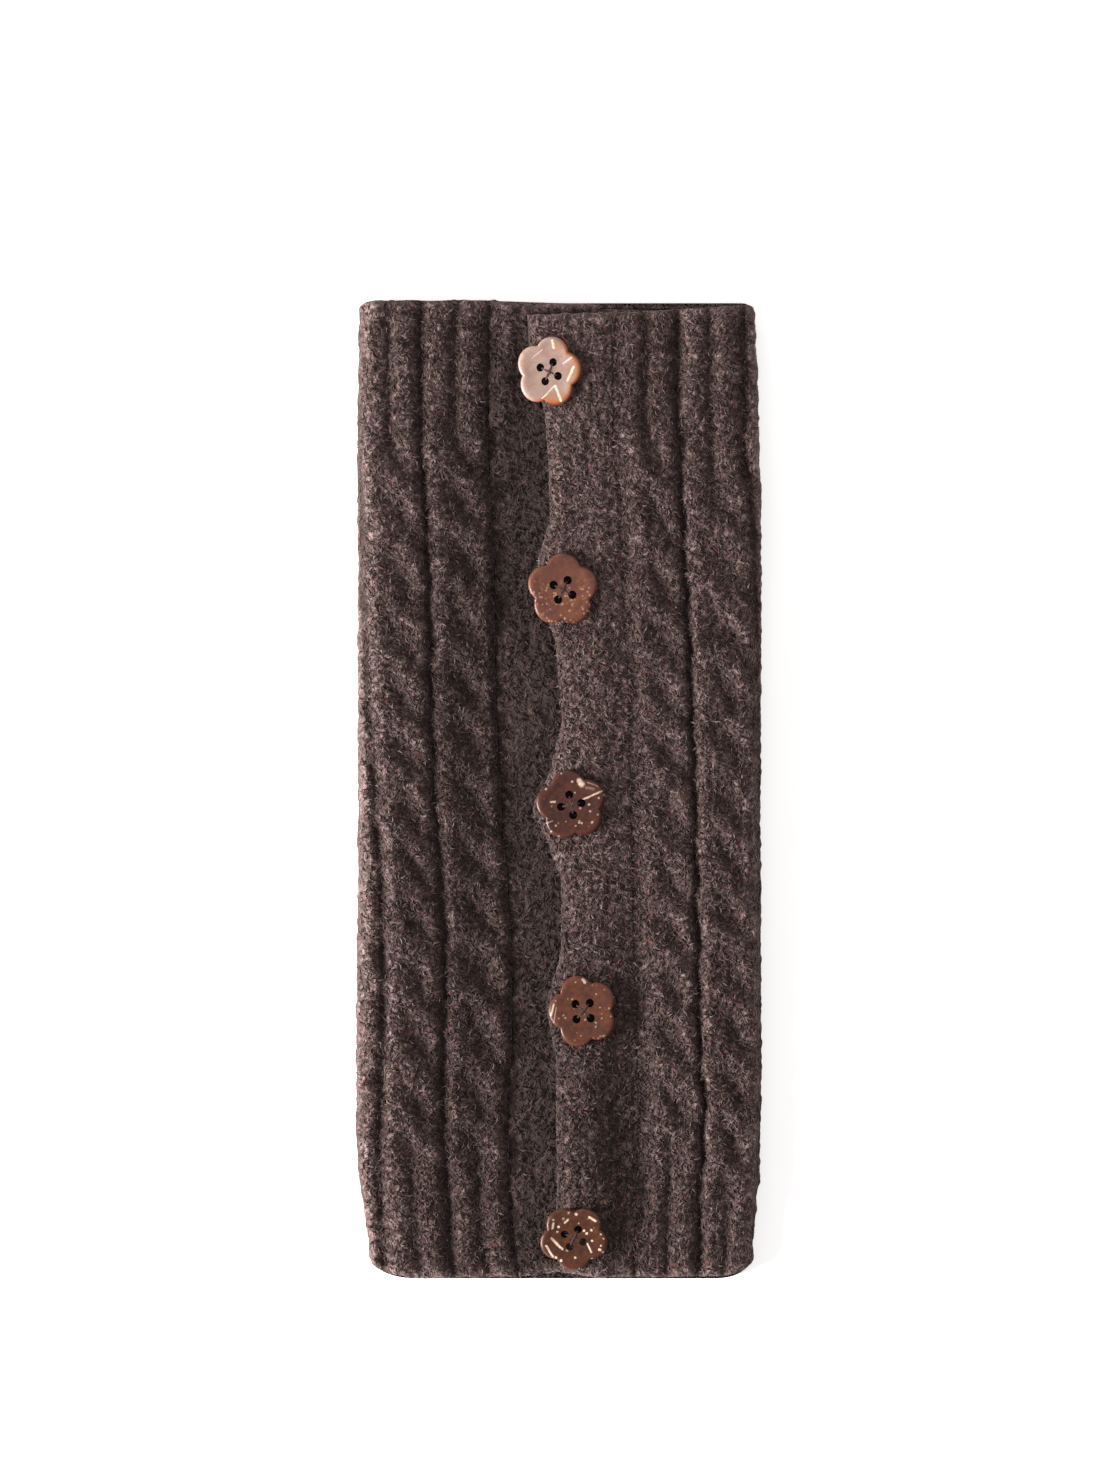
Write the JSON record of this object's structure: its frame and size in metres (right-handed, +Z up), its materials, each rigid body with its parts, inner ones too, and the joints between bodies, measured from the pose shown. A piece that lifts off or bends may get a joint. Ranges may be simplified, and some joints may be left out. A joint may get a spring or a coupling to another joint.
{
  "type": "cable-knit leg warmer with buttoned front, single, laid flat",
  "caption": "Knitted wool leg warmer laid flat, a tube with rope cables and ribbed hems that closes down the front with flower buttons",
  "frame": {"origin": "middle of the underside, on the surface the leg warmer lies on", "axes": "+Y from the bottom hem to the top hem, +X to the wearer's-view right of the flat front, +Z up out of the buttoned front"},
  "size_m": [0.1324, 0.3196, 0.0112],
  "materials": {
    "brown_wool": "fulled heathered wool knit, matt and slightly fuzzy",
    "pale_shell": "polished pale rose shell with white and orange-brown streaks",
    "brown_shell": "polished reddish-brown shell with pale flecks"
  },
  "bodies": {
    "root": {"cable_panel": "brown_wool", "button_band": "brown_wool", "buttonhole_band": "brown_wool", "flower_button_1": "pale_shell", "flower_button_2": "brown_shell", "flower_button_3": "brown_shell", "flower_button_4": "brown_shell", "flower_button_5": "brown_shell"}
  },
  "joints": []
}
